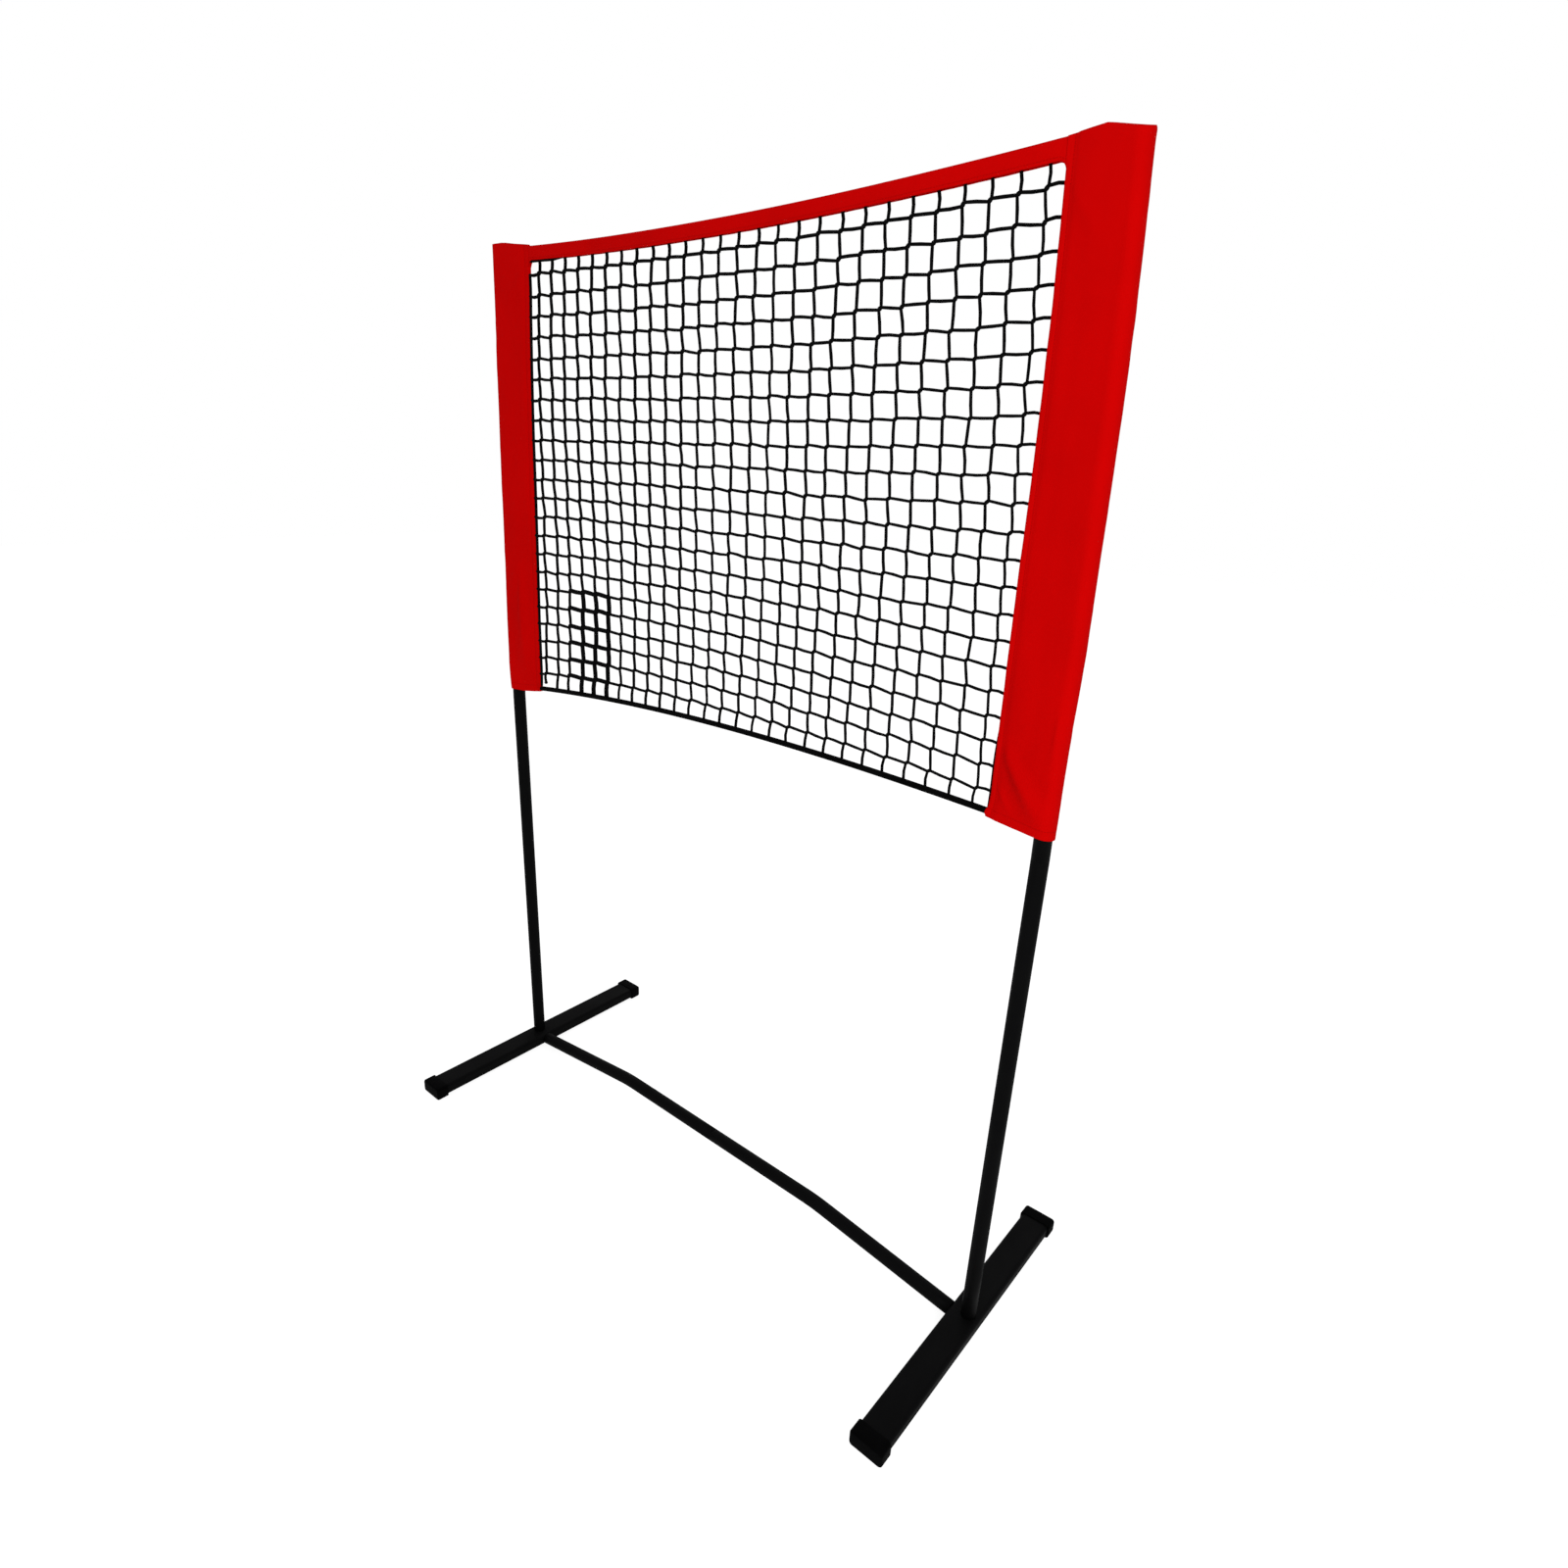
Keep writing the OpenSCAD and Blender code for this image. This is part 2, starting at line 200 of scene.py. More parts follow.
def graded(finish, value, low, high, out_low, out_high):
    """value taken from low..high to out_low..out_high, and held there beyond."""
    return add_node(finish, "MapRange", {
        "Value": value, "From Min": low, "From Max": high, "To Min": out_low, "To Max": out_high,
    }).outputs["Result"]


def arithmetic(finish, operation, *values):
    """A Math node on sockets or numbers."""
    return add_node(finish, "Math", dict(enumerate(values)), operation=operation).outputs[0]


def two_tone(finish, factor, colour, other):
    """colour where factor is 0 and other where it is 1. Either may be a socket."""
    return add_node(finish, "Mix", {"Factor": factor, 6: colour, 7: other}, data_type="RGBA").outputs[2]


def relief(finish, height, depth, below=None, strength=1.0):
    """A Bump node of that real depth, laid over another one where below is given."""
    sockets = {"Height": height, "Distance": depth, "Strength": strength}
    if below is not None:
        sockets["Normal"] = below
    return add_node(finish, "Bump", sockets).outputs["Normal"]


def finish_with(finish, shader, **sockets):
    """Joins the made sockets to the shader: colour, roughness and normal."""
    names = {"colour": "Base Color", "roughness": "Roughness", "normal": "Normal"}
    for name, socket in sockets.items():
        finish.node_tree.links.new(socket, shader.inputs[names[name]])
    return finish


print("helpers ready")

# %% [markdown]
# ## Black powder coat
# The frame is thin steel tube with a black powder coat. Powder melts into a skin with a faint
# orange-peel relief, which breaks up its soft highlight. Handling leaves hairline scuffs: noise that
# is stretched along Z, and of which only the peaks are kept.

# %% Powder coat and its wear
coat, coat_shader = new_finish("powder_coat", (0.0030, 0.0030, 0.0031), 0.6, 0.018)
on_metal = coordinates(coat, "Object")
mottle = speckle(coat, on_metal, 14, 4)
peel = speckle(coat, on_metal, 700, 2)
scuffs = graded(coat, speckle(coat, coordinates(coat, "Object", (900, 900, 60)), 1, 2), 0.70, 0.78, 0, 1)
dust = graded(coat, speckle(coat, on_metal, 55, 5, 0.62), 0.45, 0.8, 0, 0.25)
coat_tone = two_tone(coat, dust, (0.0025, 0.0025, 0.0026), (0.0048, 0.0048, 0.0050))
finish_with(
    coat, coat_shader,
    colour=two_tone(coat, arithmetic(coat, "MULTIPLY", scuffs, 0.5), coat_tone, (0.0080, 0.0080, 0.0084)),
    roughness=graded(coat, mottle, 0.35, 0.65, 0.54, 0.68),
    normal=relief(coat, peel, 0.00006, relief(coat, scuffs, 0.00003)),
)
print("finish:", coat.name)

# %% [markdown]
# ## Moulded rubber and plastic
# The boots on the feet and the plugs in the tube ends come out of a spark-eroded mould, which gives
# them an even fine grain and hardly any gloss. The rubber also picks up a little pale dust.

# %% Rubber and plastic
rubber, rubber_shader = new_finish("moulded_rubber", (0.0009, 0.0009, 0.0010), 0.7, 0.015)
on_rubber = coordinates(rubber, "Object")
grain = speckle(rubber, on_rubber, 1500, 3, 0.6)
bloom = graded(rubber, speckle(rubber, on_rubber, 60, 5, 0.6), 0.42, 0.8, 0, 0.6)
finish_with(
    rubber, rubber_shader,
    colour=two_tone(rubber, bloom, (0.0006, 0.0006, 0.0007), (0.0018, 0.0018, 0.0019)),
    roughness=graded(rubber, grain, 0.3, 0.7, 0.62, 0.8),
    normal=relief(rubber, grain, 0.00012),
)

plug_finish, plug_shader = new_finish("moulded_plastic", (0.008, 0.008, 0.008), 0.55, 0.25)
on_plug = coordinates(plug_finish, "Object")
plug_grain = speckle(plug_finish, on_plug, 1100, 2)
finish_with(
    plug_finish, plug_shader,
    colour=two_tone(
        plug_finish, speckle(plug_finish, on_plug, 90, 3), (0.006, 0.006, 0.006), (0.011, 0.011, 0.011)),
    roughness=graded(plug_finish, plug_grain, 0.3, 0.7, 0.5, 0.65),
    normal=relief(plug_finish, plug_grain, 0.00008),
)
print("finishes:", rubber.name, "and", plug_finish.name)

# %% [markdown]
# ## Red cloth
# Sleeves and band are a tight plain weave with a dull coating. The UV maps of the cloth pieces are in
# metres, so a wave of 0.7 mm is a thread of 0.7 mm wherever the cloth turns. A checker swaps warp and
# weft, as a plain weave does. Seams are rows of stitches: a narrow groove at a chosen distance from
# the edge, cut into dashes, with the cloth drawn in round it.

# %% Weave and seams
THREAD = 0.0007
STITCH = 0.0036
SIDE_SEAM, HEM_SEAM, BAND_SEAM = 0.0105, 0.012, 0.0035
WAVE_LENGTH = 0.314  # of a Wave texture at scale 1


def weave(finish, where):
    """Height of a plain weave, from 0 to 1."""
    ribs = [add_node(finish, "TexWave", {"Vector": where, "Scale": WAVE_LENGTH / THREAD}, bands_direction=way)
            for way in ("X", "Y")]
    swap = add_node(finish, "TexChecker", {"Vector": where, "Scale": 1 / THREAD})
    return add_node(finish, "Mix", {
        "Factor": swap.outputs["Fac"], 2: ribs[0].outputs["Fac"], 3: ribs[1].outputs["Fac"]}).outputs[0]


def seam(finish, across, along, place):
    """(thread, pucker) of a row of stitches at that value of across."""
    away = arithmetic(finish, "ABSOLUTE", arithmetic(finish, "SUBTRACT", across, place))
    groove = graded(finish, away, 0.0003, 0.0008, 1, 0)
    beat = arithmetic(finish, "FRACT", arithmetic(finish, "DIVIDE", along, STITCH))
    from_middle = arithmetic(finish, "ABSOLUTE", arithmetic(finish, "SUBTRACT", beat, 0.5))
    dash = graded(finish, from_middle, 0.30, 0.38, 1, 0)
    pucker = graded(finish, away, 0.0, 0.004, 1, 0)
    return arithmetic(finish, "MULTIPLY", groove, dash), pucker


def red_cloth(name, across_seams, along_seams, shade):
    """A red cloth with seams at these distances in U and in V."""
    finish, shader = new_finish(name, (shade, 0, 0), 0.8, 0.02)
    where = coordinates(finish, "UV")
    split = add_node(finish, "SeparateXYZ", {0: where})
    u, v = split.outputs[0], split.outputs[1]
    seams = [seam(finish, u, v, place) for place in across_seams]
    seams += [seam(finish, v, u, place) for place in along_seams]
    thread, pucker = seams[0]
    for other_thread, other_pucker in seams[1:]:
        thread = arithmetic(finish, "MAXIMUM", thread, other_thread)
        pucker = arithmetic(finish, "MAXIMUM", pucker, other_pucker)
    tone = speckle(finish, coordinates(finish, "Object"), 9, 3)
    slub = speckle(finish, coordinates(finish, "UV", (1, 18, 1)), 260, 2)
    body = two_tone(finish, graded(finish, tone, 0.3, 0.7, 0, 1), (0.94 * shade, 0, 0), (1.05 * shade, 0, 0))
    body = two_tone(finish, graded(finish, slub, 0.35, 0.75, 0, 0.22), body, (0.86 * shade, 0, 0))
    ripple = arithmetic(finish, "MULTIPLY", pucker, speckle(finish, where, 240, 2))
    normal = relief(finish, weave(finish, where), 0.00009, strength=0.6)
    normal = relief(finish, ripple, 0.0004, normal)
    normal = relief(finish, thread, 0.00025, normal)
    return finish_with(
        finish, shader,
        colour=two_tone(finish, arithmetic(finish, "MULTIPLY", thread, 0.5), body, (0.72 * shade, 0, 0)),
        roughness=graded(finish, slub, 0.3, 0.7, 0.74, 0.86),
        normal=normal,
    )


RED = 0.53
sleeve_cloth = red_cloth("sleeve_cloth", (SIDE_SEAM,), (HEM_SEAM,), RED)
band_cloth = red_cloth("band_cloth", (BAND_SEAM,), (), RED)
print("finishes:", sleeve_cloth.name, "and", band_cloth.name)

# %% [markdown]
# ## Twine and cord
# Both are black polyester. A braid is a set of strands that wind round: the height is a sine of the
# way round plus a share of the way along, once to the left and once to the right. A curve's UV map
# runs round the cord in U and along it in V, so the number of turns is the length over the lay.


# %% Braid
def braid(name, colour, strands, turns, depth, roughness):
    """Black braided cord with so many strands round and turns along its length."""
    finish, shader = new_finish(name, colour, roughness, 0.02)
    split = add_node(finish, "SeparateXYZ", {0: coordinates(finish, "UV")})
    heights = []
    for way in (1, -1):
        round_it = arithmetic(finish, "MULTIPLY", split.outputs[0], 2 * math.pi * strands * way)
        along = arithmetic(finish, "MULTIPLY", split.outputs[1], 2 * math.pi * turns)
        heights.append(arithmetic(finish, "SINE", arithmetic(finish, "ADD", round_it, along)))
    height = graded(finish, arithmetic(finish, "MAXIMUM", *heights), -1, 1, 0, 1)
    worn = speckle(finish, coordinates(finish, "Object"), 120, 3)
    return finish_with(
        finish, shader,
        colour=two_tone(
            finish, arithmetic(finish, "MULTIPLY", height, worn),
            tuple(0.6 * c for c in colour), tuple(2.2 * c for c in colour)),
        roughness=graded(finish, worn, 0.3, 0.7, roughness - 0.06, roughness + 0.08),
        normal=relief(finish, height, depth),
    )


BLACK_YARN = (0.0026, 0.0026, 0.0028)
twine = braid("braided_twine", BLACK_YARN, 2, 220, 0.0003, 0.72)
edge_cord = braid("braided_cord", BLACK_YARN, 4, 90, 0.0008, 0.75)
print("finishes:", twine.name, "and", edge_cord.name)

# %% [markdown]
# ## The frame that is ready
# Feet and spigots have their true shape in the CAD model, so they stay and are only painted. A CAD
# mesh is never touched; the finish goes into the object's material slot.

# %% Paint the CAD pieces
painted = [node for name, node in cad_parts.items() if "foot" in name or "spigot" in name]
for node in painted:
    for slot in node.material_slots:
        slot.material = coat
print("CAD pieces painted:", len(painted))

# %% [markdown]
# ## Making a piece
# Every new piece is built in its real place in a bmesh and becomes an object at the origin. It rides
# on a body of the CAD model, so that it moves when the frame is pulled apart, and it stands for a CAD
# node, which is then hidden.


# %% Helpers that make a piece
def add_piece(name, bm, finish, body, stands_for):
    """A smooth object from a bmesh, on a body, in place of CAD nodes."""
    mesh = bpy.data.meshes.new(name)
    bm.to_mesh(mesh)
    bm.free()
    for face in mesh.polygons:
        face.use_smooth = True
    mesh.materials.append(finish)
    piece = bpy.data.objects.new(name, mesh)
    scene.collection.objects.link(piece)
    return join_frame(piece, body, stands_for)


def join_frame(piece, body, stands_for):
    """Puts a piece on its body, in place of CAD nodes."""
    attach(piece, body)
    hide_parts(*stands_for)
    form = f"{len(piece.data.polygons)} faces" if piece.type == "MESH" else "a curve"
    print(f"{piece.name}: {form}, on {body}")
    return piece


def thicken(piece, name, thickness, offset):
    """Gives a surface a thickness: inwards with offset -1, half to either side with 0."""
    wall = piece.modifiers.new(name, "SOLIDIFY")
    wall.thickness = thickness
    wall.offset = offset


def verts_in(geom):
    """The vertices in what an operator returned."""
    return [v for v in geom if isinstance(v, bmesh.types.BMVert)]


def edges_in(geom):
    """The edges in what an operator returned."""
    return [e for e in geom if isinstance(e, bmesh.types.BMEdge)]


# %% [markdown]
# ## The ground rail
# Each half of the rail is one tube with a shallow bend. In the model it is bent sharply; here it gets
# the soft bend that a tube bender leaves. A circle is extruded along the level stretch, spun about the
# bend's centre and extruded again down to the foot, where a plane cuts it flush with the foot's side.
# The left half also has the reduced end that slips into the right half.

# %% Bend the rail's two halves
ROUND = 48  # points round a tube
TUBE_R, TUBE_WALL = 0.0115, 0.0015
SLIP_R, REDUCED_END = 0.00992, 0.060
RAIL_Z, RAIL_END_Z = 0.045, 0.013
BEND_X, BEND_RADIUS = 0.237, 0.35
FOOT_SIDE_X = 0.5075
DOWN_STEP = 0.075  # four of them reach past the foot's side
MERGE = 1e-6

slope = math.atan2(RAIL_Z - RAIL_END_Z, FOOT_SIDE_X - BEND_X)
tangent = BEND_RADIUS * math.tan(slope / 2)


def tube_along(bm, ring, step, times):
    """Extrudes a ring of edges along step, times over, and returns the last ring."""
    for _ in range(times):
        made = bmesh.ops.extrude_edge_only(bm, edges=ring)["geom"]
        ring = edges_in(made)
        bmesh.ops.translate(bm, verts=verts_in(made), vec=step)
    return ring


def rail_half(name, side, node):
    """Half of the rail, bent, with its inner end at X = 0."""
    bm = bmesh.new()
    place = Matrix.Translation((0, 0, RAIL_Z)) @ Matrix.Rotation(math.pi / 2, 4, "Y")
    bmesh.ops.create_circle(bm, segments=ROUND, radius=TUBE_R, matrix=place)
    first = list(bm.edges)
    if side < 0:
        shoulder = bmesh.ops.extrude_edge_only(bm, edges=first)["geom"]
        bmesh.ops.scale(
            bm, verts=verts_in(shoulder), vec=(1, SLIP_R / TUBE_R, SLIP_R / TUBE_R),
            space=Matrix.Translation((0, 0, -RAIL_Z)))
        tube_along(bm, edges_in(shoulder), (-REDUCED_END, 0, 0), 1)
    ring = tube_along(bm, first, ((BEND_X - tangent) / 4, 0, 0), 4)
    ring_verts = list(dict.fromkeys(v for e in ring for v in e.verts))
    spun = bmesh.ops.spin(
        bm, geom=ring + ring_verts, steps=10, angle=slope, axis=(0, 1, 0),
        cent=(BEND_X - tangent, 0, RAIL_Z - BEND_RADIUS), use_duplicate=False)
    down = Vector((math.cos(slope), 0, -math.sin(slope)))
    tube_along(bm, edges_in(spun["geom_last"]), down * DOWN_STEP, 4)
    bmesh.ops.bisect_plane(
        bm, geom=bm.verts[:] + bm.edges[:] + bm.faces[:], plane_co=(FOOT_SIDE_X, 0, 0),
        plane_no=(1, 0, 0), clear_outer=True)
    bmesh.ops.remove_doubles(bm, verts=bm.verts, dist=MERGE)
    bmesh.ops.scale(bm, verts=bm.verts, vec=(side, 1, 1))
    bmesh.ops.recalc_face_normals(bm, faces=bm.faces)
    thicken(add_piece(name, bm, coat, "base", [node]), "wall", TUBE_WALL, -1)


SIDES = (("left", -1), ("right", 1))
for side_name, side in SIDES:
    rail_half(f"{side_name}_rail_bent", side, f"{side_name}_rail")

# %% [markdown]
# ## The boots on the feet
# A boot is a block of rubber with well rounded long edges and a chamfered outer end. The block is a
# cube that is scaled to size. One bevel rounds the four long edges, another breaks the outer rim, and
# a third takes half a millimetre off all that is still sharp, since no mould has a knife edge. An inset
# and an inward extrusion then make the pocket in which the foot tube sits.

# %% Mould the four boots
BOOT_SIZE = (0.053, 0.023, 0.026)
BOOT_X, BOOT_TIP_Y = 0.531, 0.265
LONG_ROUND, TIP_CHAMFER, EDGE_BREAK = 0.0055, 0.0024, 0.0006
RIM, BOOT_BOTTOM = 0.0013, 0.003
POCKET_SHARE, POCKET_AREA = (0.936, 1, 0.946), 0.0004  # the rim's faces are smaller
SHARP_EDGE, SMOOTH_UP_TO = 0.6, math.radians(38)


def break_edges(bm, edges, offset, segments):
    """Rounds edges, or chamfers them with one segment."""
    bmesh.ops.bevel(
        bm, geom=edges, offset=offset, offset_type="OFFSET", affect="EDGES", segments=segments,
        profile=0.5, material=-1)


def depth_of(face):
    """How far back a face lies."""
    return face.calc_center_median().y


def boot(name, side, end, node):
    """Rubber boot on one end of a foot."""
    bm = bmesh.new()
    bmesh.ops.create_cube(bm, size=1)
    bmesh.ops.scale(bm, vec=BOOT_SIZE, verts=bm.verts)
    front_to_back = [e for e in bm.edges if abs(e.verts[0].co.y - e.verts[1].co.y) > BOOT_SIZE[1] / 2]
    break_edges(bm, front_to_back, LONG_ROUND, 6)
    break_edges(bm, list(max(bm.faces, key=depth_of).edges), TIP_CHAMFER, 1)
    sharp = [e for e in bm.edges if len(e.link_faces) == 2 and e.calc_face_angle() > SHARP_EDGE]
    break_edges(bm, sharp, EDGE_BREAK, 2)
    bmesh.ops.inset_region(bm, faces=[min(bm.faces, key=depth_of)], thickness=RIM, use_even_offset=True)
    back = min((f for f in bm.faces if f.calc_area() > POCKET_AREA), key=depth_of)
    bmesh.ops.scale(bm, verts=back.verts[:], vec=POCKET_SHARE)
    pushed = bmesh.ops.extrude_face_region(bm, geom=[back])["geom"]
    bmesh.ops.translate(bm, verts=verts_in(pushed), vec=(0, BOOT_SIZE[1] - BOOT_BOTTOM, 0))
    bmesh.ops.delete(bm, geom=[back], context="FACES_ONLY")
    bmesh.ops.translate(
        bm, verts=bm.verts, vec=(BOOT_X, BOOT_TIP_Y - BOOT_SIZE[1] / 2, BOOT_SIZE[2] / 2))
    bmesh.ops.scale(bm, verts=bm.verts, vec=(side, end, 1))
    bmesh.ops.recalc_face_normals(bm, faces=bm.faces)
    piece = add_piece(name, bm, rubber, "base", [node])
    piece.data.set_sharp_from_angle(angle=SMOOTH_UP_TO)


for side_name, side in SIDES:
    for end_name, end in (("front", -1), ("rear", 1)):
        boot(f"{side_name}_{end_name}_boot", side, end, f"{side_name}_{end_name}_cap")

# %% [markdown]
# ## The uprights under load
# The net pulls the heads of the uprights together, and the push fit half way up gives a little. So the
# lower tube leans outwards by a few millimetres and the upper one back in, more on the left than on
# the right. A tube is a circle that is extruded upwards; its points are then moved outwards by the
# lean at their height. The reduced end of the lower tube follows the upper one that sits on it.

# %% Set up the uprights
POST_X = 0.536
UPRIGHT_FOOT_Z, JOINT_Z, UPRIGHT_TOP_Z = 0.024, 0.780, 1.546
PLUG_STEM_R, PLUG_DEPTH, PLUG_RIM, PLUG_CHAMFER = 0.0099, 0.022, 0.0015, 0.001
AT_JOINT = {-1: 0.0092, 1: 0.0054}
AT_TOP = {-1: -0.0054, 1: -0.0016}


def lean(side, z):
    """How far outwards an upright's axis stands at this height."""
    if z < JOINT_Z:
        return AT_JOINT[side] * (z - UPRIGHT_FOOT_Z) / (JOINT_Z - UPRIGHT_FOOT_Z)
    back_in = AT_TOP[side] - AT_JOINT[side]
    return AT_JOINT[side] + back_in * (z - JOINT_Z) / (UPRIGHT_TOP_Z - JOINT_Z)


def stand_up(name, bm, side, finish, body, node):
    """Moves round shapes from the Z axis onto a leaning upright and makes them a piece."""
    for v in bm.verts:
        v.co.x = side * (POST_X + lean(side, v.co.z) + v.co.x)
    bmesh.ops.recalc_face_normals(bm, faces=bm.faces)
    piece = add_piece(name, bm, finish, body, [node])
    piece.data.set_sharp_from_angle(angle=SMOOTH_UP_TO)
    return piece


def next_ring(bm, ring, share, rise):
    """Extrudes a ring upwards by rise and to that share of its radius."""
    made = bmesh.ops.extrude_edge_only(bm, edges=ring)["geom"]
    bmesh.ops.scale(bm, verts=verts_in(made), vec=(share, share, 1))
    bmesh.ops.translate(bm, verts=verts_in(made), vec=(0, 0, rise))
    return edges_in(made)


def ring_at(bm, z, radius):
    """A ring round the Z axis at this height."""
    bmesh.ops.create_circle(bm, segments=ROUND, radius=radius, matrix=Matrix.Translation((0, 0, z)))
    return list(bm.edges)


def upright(name, side, low, high, body, node):
    """One tube of an upright; the lower one has a reduced end."""
    bm = bmesh.new()
    ring = tube_along(bm, ring_at(bm, low, TUBE_R), (0, 0, (high - low) / 12), 12)
    if high == JOINT_Z:
        tube_along(bm, next_ring(bm, ring, SLIP_R / TUBE_R, 0), (0, 0, REDUCED_END / 3), 3)
    thicken(stand_up(name, bm, side, coat, body, node), "wall", TUBE_WALL, -1)


def plug(name, side, body, node):
    """The plug in an upright's head: a stem in the bore and a chamfered cap."""
    bm = bmesh.new()
    ring = next_ring(bm, ring_at(bm, UPRIGHT_TOP_Z - PLUG_DEPTH, PLUG_STEM_R), 1, PLUG_DEPTH)
    ring = next_ring(bm, ring, TUBE_R / PLUG_STEM_R, 0)
    ring = next_ring(bm, ring, 1, PLUG_RIM)
    next_ring(bm, ring, (TUBE_R - PLUG_CHAMFER) / TUBE_R, PLUG_CHAMFER)
    bmesh.ops.holes_fill(bm, edges=bm.edges, sides=0)
    stand_up(name, bm, side, plug_finish, body, node)


for side_name, side in SIDES:
    for half, low, high in (("lower", UPRIGHT_FOOT_Z, JOINT_Z), ("upper", JOINT_Z, UPRIGHT_TOP_Z)):
        body = f"{side_name}_{half}"
        upright(f"{body}_tube", side, low, high, body, f"{body}_upright")
    plug(f"{side_name}_tube_plug", side, f"{side_name}_upper", f"{side_name}_top_plug")

# %% [markdown]
# ## How the net hangs
# A few short formulas say where the soft pieces are, and every piece below asks them. The headline
# sags like a chain between the sleeves, and the bottom cord is drawn up in the middle. The net hangs a
# little higher on the right, as cloth does that was slipped on by hand. The sleeves give way to the
# pull of the mesh: their inner edges run a few millimetres in and out, and the cloth round a tube
# follows its lean.

# %% The lines of the net
EDGE_X = 0.4597
BAND_DEPTH = 0.0212
CORD_R = 0.0044
GUSSET_Z, GUSSET_WIDE, GUSSET_DEEP = 1.51, 0.010, 0.009

# (height, distance of a sleeve's inner edge from the middle of the net)
INNER_EDGE = {
    -1: [(0.79, 0.4725), (0.85, 0.4725), (0.94, 0.4720), (1.03, 0.4695), (1.12, 0.4675), (1.20, 0.4655),
         (1.28, 0.4635), (1.36, 0.4605), (1.43, 0.4572), (1.49, 0.4535), (1.52, 0.4520), (1.56, 0.4512)],
    1: [(0.79, 0.4608), (0.819, 0.4608), (0.826, 0.4620), (0.835, 0.4640), (0.85, 0.4652), (0.90, 0.4650),
        (1.00, 0.4646), (1.13, 0.4646), (1.22, 0.4656), (1.30, 0.4651), (1.38, 0.4643), (1.45, 0.4625),
        (1.50, 0.4608), (1.53, 0.4597), (1.56, 0.4590)],
}
# (height, how far outwards the cloth round the tube stands from its place on a straight upright)
STAND_OFF = {
    -1: [(0.79, 0.0088), (0.815, 0.0108), (0.85, 0.0118), (0.93, 0.0108), (1.00, 0.0080), (1.07, 0.0060),
         (1.16, 0.0046), (1.24, 0.0022), (1.31, 0.0002), (1.36, -0.0014), (1.40, -0.0032), (1.45, -0.0048),
         (1.50, -0.0058), (1.54, -0.0066)],
    1: [(0.81, 0.0056), (0.90, 0.0056), (0.95, 0.0058), (1.01, 0.0073), (1.10, 0.0078), (1.20, 0.0070),
        (1.30, 0.0064), (1.38, 0.0045), (1.45, 0.0019), (1.50, -0.0009), (1.54, -0.0026)],
}


def along_line(stops, place):
    """Value at a place on the line through these stops."""
    for (place0, value0), (place1, value1) in zip(stops, stops[1:]):
        if place <= place1:
            return value0 + (value1 - value0) * max(0.0, (place - place0) / (place1 - place0))
    return stops[-1][1]


def band_top(x):
    """Top edge of the band."""
    return 1.5359 + 0.0151 * x + 0.0581 * x * x


def band_foot(x):
    """Lower edge of the band, with a small round gusset at either sleeve."""
    near = 1 - (along_line(INNER_EDGE[1 if x > 0 else -1], GUSSET_Z) - abs(x)) / GUSSET_WIDE
    return band_top(x) - BAND_DEPTH - GUSSET_DEEP * (1 - math.sqrt(1 - min(max(near, 0.0), 1.0) ** 2))


def cord_middle(x):
    """Centre of the bottom cord."""
    return 0.8358 + 0.0115 * x - 0.0898 * x ** 2 + 0.020 * x ** 3


def between(x, share):
    """Height at that share of the way from the bottom cord up to the band."""
    low = cord_middle(x) + CORD_R
    return low + share * (band_top(x) - BAND_DEPTH - low)


for x in (-EDGE_X, 0, EDGE_X):
    print(f"x {x:+.3f}: cord {cord_middle(x):.4f}, band {band_foot(x):.4f} to {band_top(x):.4f}")

# %% [markdown]
# ## The mesh
# The mesh is knotless netting: at each crossing the upright and the level twine lie together for a few
# millimetres on a slant and then part again, so every cell looks slightly turned. A strand is a line
# through two points at each crossing, with a round bevel, and a small stretched ball fills out the
# crossing itself. The weight of the net draws the even grid out of true: its foot is pulled to the left,
# its head to the right, and the middle sags by a few millimetres. On top of that no two cells are
# alike, so each crossing is nudged a little, by the same amount in every run because the random
# numbers have a seed. Soft twine is fuller where it hangs slack, on the left, than where it is drawn
# tight, on the right.

# %% Where the crossings are
COLUMNS, ROWS = 27, 22
FIRST_X, PITCH_X = -0.4420, 0.03408
FIRST_SHARE, PITCH_SHARE = 0.0360, 0.04478
HALF_COLUMNS, HALF_ROWS = (COLUMNS - 1) / 2, (ROWS - 1) / 2
TWINE_R = 0.0023
MM = 0.001
NUDGE = (0.0008, 0.0007)
SLANT_WIDE, SLANT_HIGH = (0.0010, 0.0021), (0.0008, 0.0019)

chance = random.Random(11)


def grid_place(column, row):
    """(x, z) of a place on the hung grid. Parts of a column or row are allowed."""
    x = FIRST_X + PITCH_X * column
    p, q = (column - HALF_COLUMNS) / HALF_COLUMNS, (row - HALF_ROWS) / HALF_ROWS
    drawn = (0.4 + 0.6 * q - 1.8 * q ** 2 + 5.6 * q ** 3
             + p * (1.9 + 2.5 * q - 2.5 * q ** 2 - 5.0 * q ** 3 - 4.3 * p ** 2 * q))
    sunk = (-7.1 + 1.9 * q + 9.3 * q ** 2 - 2.7 * q ** 3 - 3.4 * q ** 4
            - 2.0 * p + 3.5 * p ** 2 - 5.5 * (p * q) ** 2 + 1.4 * p ** 3)
    return x + MM * drawn, between(x, FIRST_SHARE + PITCH_SHARE * row) + MM * sunk


def crossing(column, row):
    """(x, z, half the slant's width, half its height) of a crossing."""
    x, z = grid_place(column, row)
    return (x + chance.gauss(0, NUDGE[0]), z + chance.gauss(0, NUDGE[1]),
            chance.uniform(*SLANT_WIDE), chance.uniform(*SLANT_HIGH))


crossings = [[crossing(column, row) for row in range(ROWS)] for column in range(COLUMNS)]
print("crossings:", COLUMNS * ROWS)

